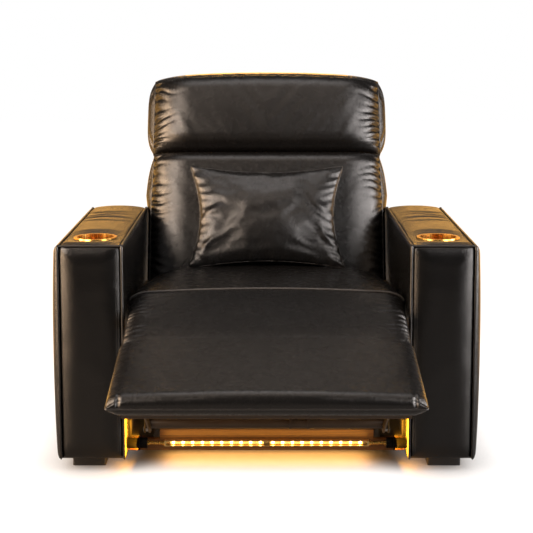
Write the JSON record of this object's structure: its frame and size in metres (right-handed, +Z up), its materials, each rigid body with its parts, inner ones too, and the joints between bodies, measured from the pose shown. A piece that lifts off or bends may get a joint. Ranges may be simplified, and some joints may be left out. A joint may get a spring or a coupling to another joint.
{
  "type": "cinema recliner seat",
  "caption": "Power cinema recliner in dark leather with padded arms, cup holders, lifted footrest, tilting headrest, loose cushion and a warm light bar under the seat.",
  "frame": {"origin": "on the floor, under the middle of the whole chair with its footrest lifted", "axes": "+X to the right as seen from the front, +Y towards the back, +Z up"},
  "size_m": [1.0715, 1.3353, 0.9721],
  "materials": {
    "leather": "semi-gloss grained",
    "seat_leather": "semi-gloss grained",
    "rear_cover": "semi-gloss grained",
    "brass": "satin",
    "plywood": "raw plywood",
    "rail_board": "stained",
    "black_plastic": "matt",
    "button_metal": "brushed",
    "steel_black": "powder coat",
    "steel_gold": "bronze powder coat",
    "pin_steel": "turned",
    "actuator_tube": "satin",
    "motor_housing": "moulded",
    "webbing": "elastic weave",
    "light_channel": "anodised",
    "led_board": "matt",
    "led": "lit"
  },
  "bodies": {
    "root": {"left_arm_frame": "plywood", "left_arm_inner_panel": "leather", "left_arm_outer_panel": "leather", "left_arm_front_panel": "leather", "left_arm_top_pad": "leather", "left_cup_holder": "brass", "right_arm_frame": "plywood", "right_arm_inner_panel": "leather", "right_arm_outer_panel": "leather", "right_arm_front_panel": "leather", "right_arm_top_pad": "leather", "right_cup_holder": "brass", "feet": "black_plastic", "control_bezel": "black_plastic", "front_rail": "rail_board", "rear_rail": "rail_board", "power_inlet": "black_plastic", "base_angles": "steel_black", "light_channel": "light_channel", "light_boards": "led_board", "light_leds": "led", "light_stays": "brass", "light_sockets": "black_plastic", "seat_plates": "steel_black", "seat_plate_pins": "pin_steel", "cross_bar": "steel_black", "footrest_actuator_tube": "actuator_tube", "footrest_motor": "motor_housing", "recline_actuator_tube": "actuator_tube", "recline_motor": "motor_housing", "seat_frame": "plywood", "seat_webbing": "webbing", "seat_cushion": "seat_leather", "leg_bridge": "seat_leather"},
    "footrest_drive": {"footrest_drive_links": "steel_gold", "footrest_torque_tube": "steel_gold", "drive_link_pins": "pin_steel"},
    "footrest_rear_link": {"footrest_rear_links": "steel_gold"},
    "footrest_cross_link": {"footrest_cross_links": "steel_gold", "cross_link_pins": "pin_steel"},
    "footrest_lower_link": {"footrest_lower_links": "steel_gold"},
    "footrest": {"footrest_brackets": "steel_gold", "footrest_bracket_pins": "pin_steel", "footrest_board": "plywood", "footrest_pad": "seat_leather"},
    "footrest_rod": {"footrest_actuator_rod": "pin_steel"},
    "back": {"back_brackets": "steel_black", "back_frame": "plywood", "back_webbing": "webbing", "back_cushion": "seat_leather", "back_rear_cover": "rear_cover", "headrest_hinges": "steel_black", "loose_cushion": "seat_leather"},
    "recline_rod": {"recline_actuator_rod": "pin_steel"},
    "headrest": {"headrest_arms": "steel_black", "headrest_board": "plywood", "headrest_cushion": "seat_leather"},
    "footrest_button": {"footrest_button": "button_metal"},
    "recline_button": {"recline_button": "button_metal"}
  },
  "joints": [
    {"name": "footrest_fold", "type": "hinge", "parent": "root", "child": "footrest_drive", "pos_m": [0, -0.13898, 0.325], "axis": [1, 0, 0], "range_deg": [0, 80], "deforming": ["leg_bridge"]},
    {"name": "footrest_rear_link_turn", "type": "hinge", "parent": "root", "child": "footrest_rear_link", "pos_m": [0, -0.07912, 0.32919], "axis": [1, 0, 0], "range_deg": [0, 80]},
    {"name": "footrest_cross_link_turn", "type": "hinge", "parent": "footrest_drive", "child": "footrest_cross_link", "pos_m": [0, -0.24251, 0.1825], "axis": [1, 0, 0], "range_deg": [-80, 0]},
    {"name": "footrest_lower_link_turn", "type": "hinge", "parent": "footrest_drive", "child": "footrest_lower_link", "pos_m": [0, -0.27946, 0.13165], "axis": [1, 0, 0], "range_deg": [-80, 0]},
    {"name": "footrest_turn", "type": "hinge", "parent": "footrest_lower_link", "child": "footrest", "pos_m": [0, -0.45382, 0.23231], "axis": [1, 0, 0], "range_deg": [0, 80]},
    {"name": "footrest_rod_slide", "type": "slide", "parent": "root", "child": "footrest_rod", "axis": [0, 1, 0], "range_m": [0, 0.10335]},
    {"name": "back_recline", "type": "hinge", "parent": "root", "child": "back", "pos_m": [0, 0.44166, 0.35], "axis": [-1, 0, 0], "range_deg": [0, 38]},
    {"name": "recline_rod_slide", "type": "slide", "parent": "root", "child": "recline_rod", "axis": [0, -1, 0], "range_m": [0, 0.07212]},
    {"name": "headrest_tilt", "type": "hinge", "parent": "back", "child": "headrest", "pos_m": [0, 0.56139, 0.77253], "axis": [1, 0, 0], "range_deg": [0, 40]},
    {"name": "footrest_button_press", "type": "slide", "parent": "root", "child": "footrest_button", "axis": [1, 0, 0], "range_m": [0, 0.002], "stiffness_N_per_m": 400},
    {"name": "recline_button_press", "type": "slide", "parent": "root", "child": "recline_button", "axis": [1, 0, 0], "range_m": [0, 0.002], "stiffness_N_per_m": 400}
  ],
  "couplings": [
    {"joint": "footrest_rear_link_turn", "follows": "footrest_fold", "ratio": 1},
    {"joint": "footrest_cross_link_turn", "follows": "footrest_fold", "ratio": -1},
    {"joint": "footrest_lower_link_turn", "follows": "footrest_fold", "ratio": -1},
    {"joint": "footrest_turn", "follows": "footrest_fold", "ratio": 1},
    {"joint": "footrest_rod_slide", "follows": "footrest_fold", "m_per_rad": 0.073658},
    {"joint": "recline_rod_slide", "follows": "back_recline", "m_per_rad": 0.10799}
  ]
}
